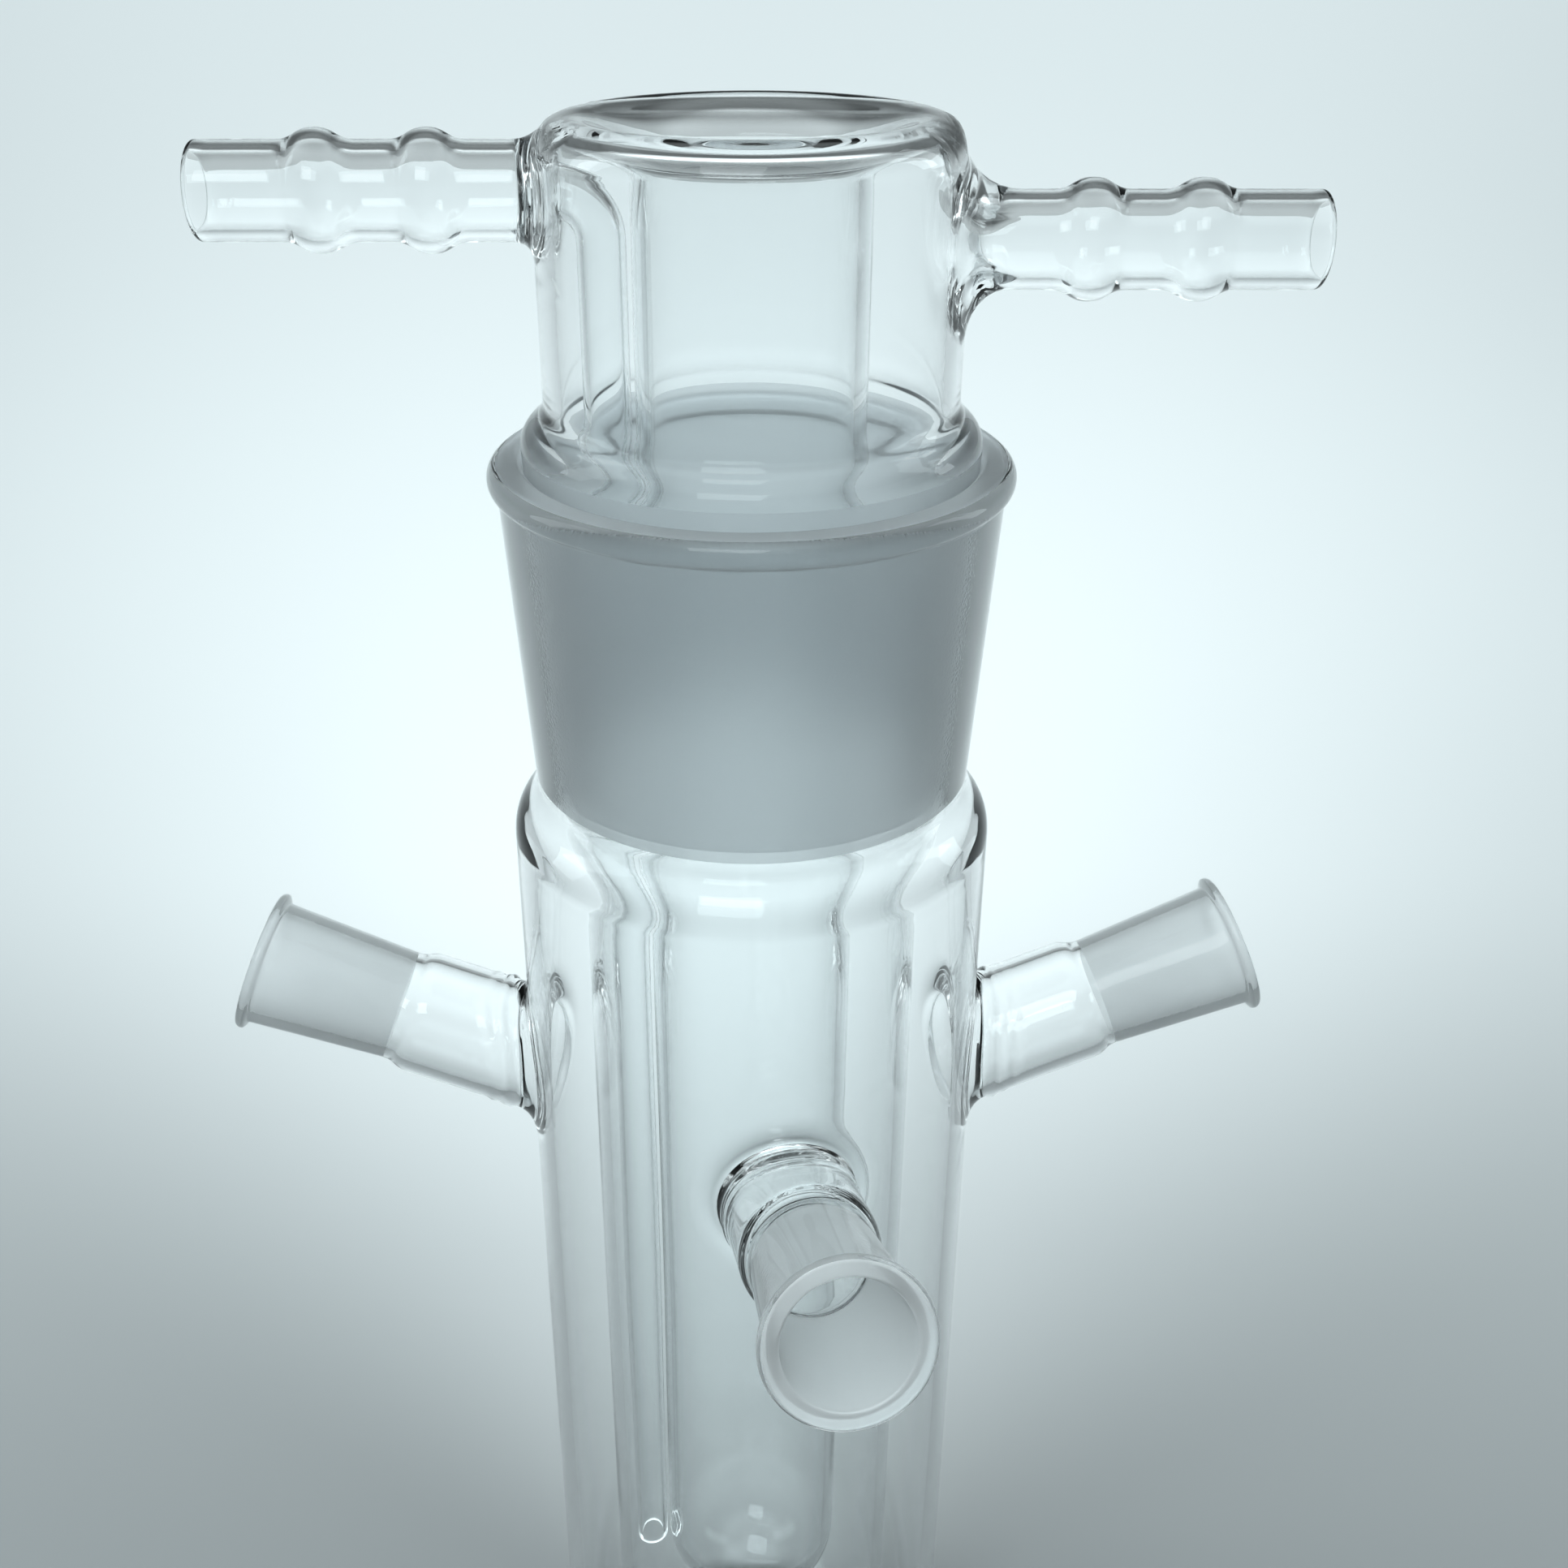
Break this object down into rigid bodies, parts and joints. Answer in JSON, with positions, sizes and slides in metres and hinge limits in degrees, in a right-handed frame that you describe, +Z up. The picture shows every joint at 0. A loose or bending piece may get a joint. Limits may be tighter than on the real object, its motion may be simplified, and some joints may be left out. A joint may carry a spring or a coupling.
{
  "type": "immersion well photochemical reactor",
  "caption": "Clear glass reaction vessel with ground side necks; a water-jacketed lamp well with hose barbs stands in its large ground joint and lifts out.",
  "frame": {"origin": "centre of the vessel's flat resting face", "axes": "+Z up along the vessel and the lamp well; +X towards the water outlet barb, -X towards the inlet barb; the front side neck points roughly along -Y"},
  "size_m": [0.1597, 0.1142, 0.3],
  "materials": {
    "clear_glass": "clear, fire-polished",
    "ground_glass": "ground, matt"
  },
  "bodies": {
    "vessel": {"vessel_base": "clear_glass", "vessel_wall": "clear_glass", "vessel_shoulder": "clear_glass", "main_socket": "ground_glass", "main_socket_bead": "clear_glass", "right_neck_tube": "clear_glass", "right_neck_socket": "ground_glass", "right_neck_weld": "clear_glass", "front_neck_tube": "clear_glass", "front_neck_socket": "ground_glass", "front_neck_weld": "clear_glass", "left_neck_tube": "clear_glass", "left_neck_socket": "ground_glass", "left_neck_weld": "clear_glass"},
    "well": {"ring_seal": "clear_glass", "head_tube": "clear_glass", "ground_cone": "ground_glass", "jacket_step": "clear_glass", "jacket_tube": "clear_glass", "jacket_dome": "clear_glass", "lamp_tube": "clear_glass", "lamp_dome": "clear_glass", "inlet_barb": "clear_glass", "outlet_barb": "clear_glass", "inlet_weld": "clear_glass", "outlet_weld": "clear_glass", "dip_elbow": "clear_glass", "dip_tube": "clear_glass"}
  },
  "joints": [
    {"name": "well_lift", "type": "slide", "parent": "vessel", "child": "well", "axis": [0, 0, 1], "range_m": [0, 0.24]}
  ]
}
